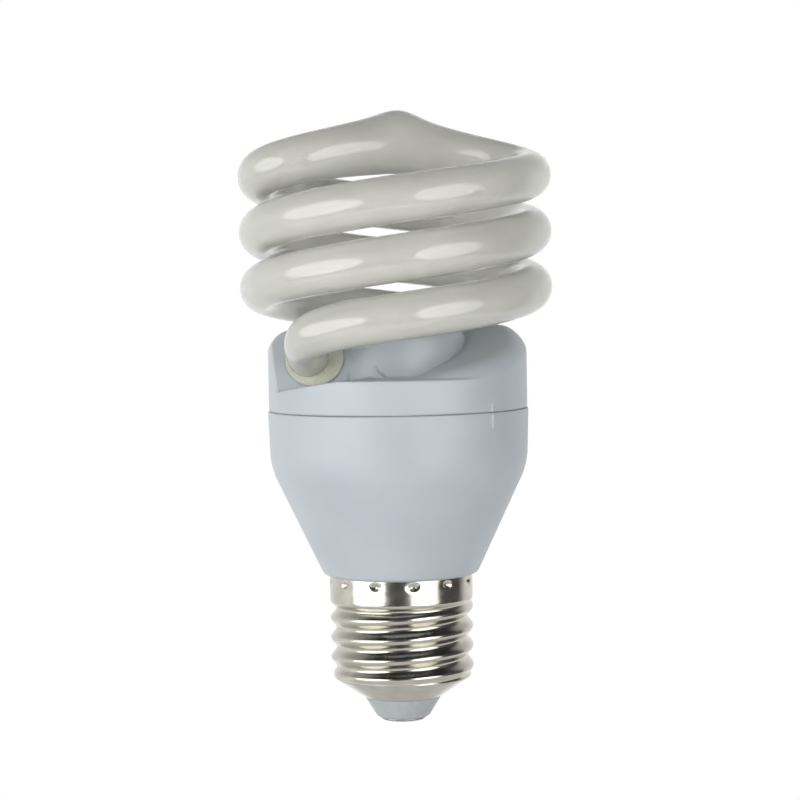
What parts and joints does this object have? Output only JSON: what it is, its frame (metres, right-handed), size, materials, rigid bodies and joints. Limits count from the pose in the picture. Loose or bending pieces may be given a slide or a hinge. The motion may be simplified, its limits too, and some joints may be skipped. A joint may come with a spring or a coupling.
{
  "type": "spiral energy saving bulb",
  "caption": "Compact fluorescent lamp with a double spiral glass tube on a tapered plastic ballast case, with an E27 screw cap that holds and feeds it.",
  "frame": {"origin": "middle of the centre contact's lower face, at the tip of the screw cap", "axes": "+Z along the lamp's axis from the cap to the top of the spiral, -Y towards the picture's camera, where the front tube end enters the case"},
  "size_m": [0.0572, 0.0572, 0.1119],
  "materials": {
    "coated_glass": "gloss glass over an opaque white phosphor coat",
    "seal_cement": "matt cream cement",
    "case_plastic": "satin moulded cool white plastic",
    "nickel_plate": "bright nickel plate on pressed brass",
    "insulator_plastic": "satin grey white moulding",
    "contact_metal": "plated and lightly worn",
    "board_laminate": "brown paper laminate",
    "capacitor_sleeve": "shrunk dark sleeve",
    "ferrite": "matt dark grey",
    "bobbin_plastic": "moulded dark plastic",
    "enamelled_copper": "lacquered copper wire",
    "black_epoxy": "moulded black epoxy",
    "film_dip": "dipped red brown lacquer",
    "resistor_lacquer": "tan lacquer",
    "diac_glass": "blue lacquered glass",
    "tinned_wire": "bright tinned copper"
  },
  "bodies": {
    "root": {"spiral_tube": "coated_glass", "front_tube_seal": "seal_cement", "rear_tube_seal": "seal_cement", "tube_holder": "case_plastic", "ballast_housing": "case_plastic", "screw_shell": "nickel_plate", "cap_insulator": "insulator_plastic", "centre_contact": "contact_metal", "circuit_board": "board_laminate", "filter_capacitor": "capacitor_sleeve", "choke_core_lower": "ferrite", "choke_core_upper": "ferrite", "choke_bobbin": "bobbin_plastic", "choke_winding": "enamelled_copper", "drive_ring": "ferrite", "drive_windings": "enamelled_copper", "transistor_a": "black_epoxy", "transistor_b": "black_epoxy", "resonant_capacitor": "film_dip", "blocking_capacitor": "film_dip", "line_coil_core": "ferrite", "line_coil_winding": "enamelled_copper", "rectifier_diodes": "black_epoxy", "resistors": "resistor_lacquer", "trigger_diac": "diac_glass", "wrap_posts": "tinned_wire", "front_tube_lead_a": "tinned_wire", "front_tube_lead_b": "tinned_wire", "rear_tube_lead_a": "tinned_wire", "rear_tube_lead_b": "tinned_wire", "fuse_resistor": "resistor_lacquer", "fuse_lead": "tinned_wire", "live_lead": "tinned_wire", "neutral_lead": "tinned_wire"}
  },
  "joints": []
}
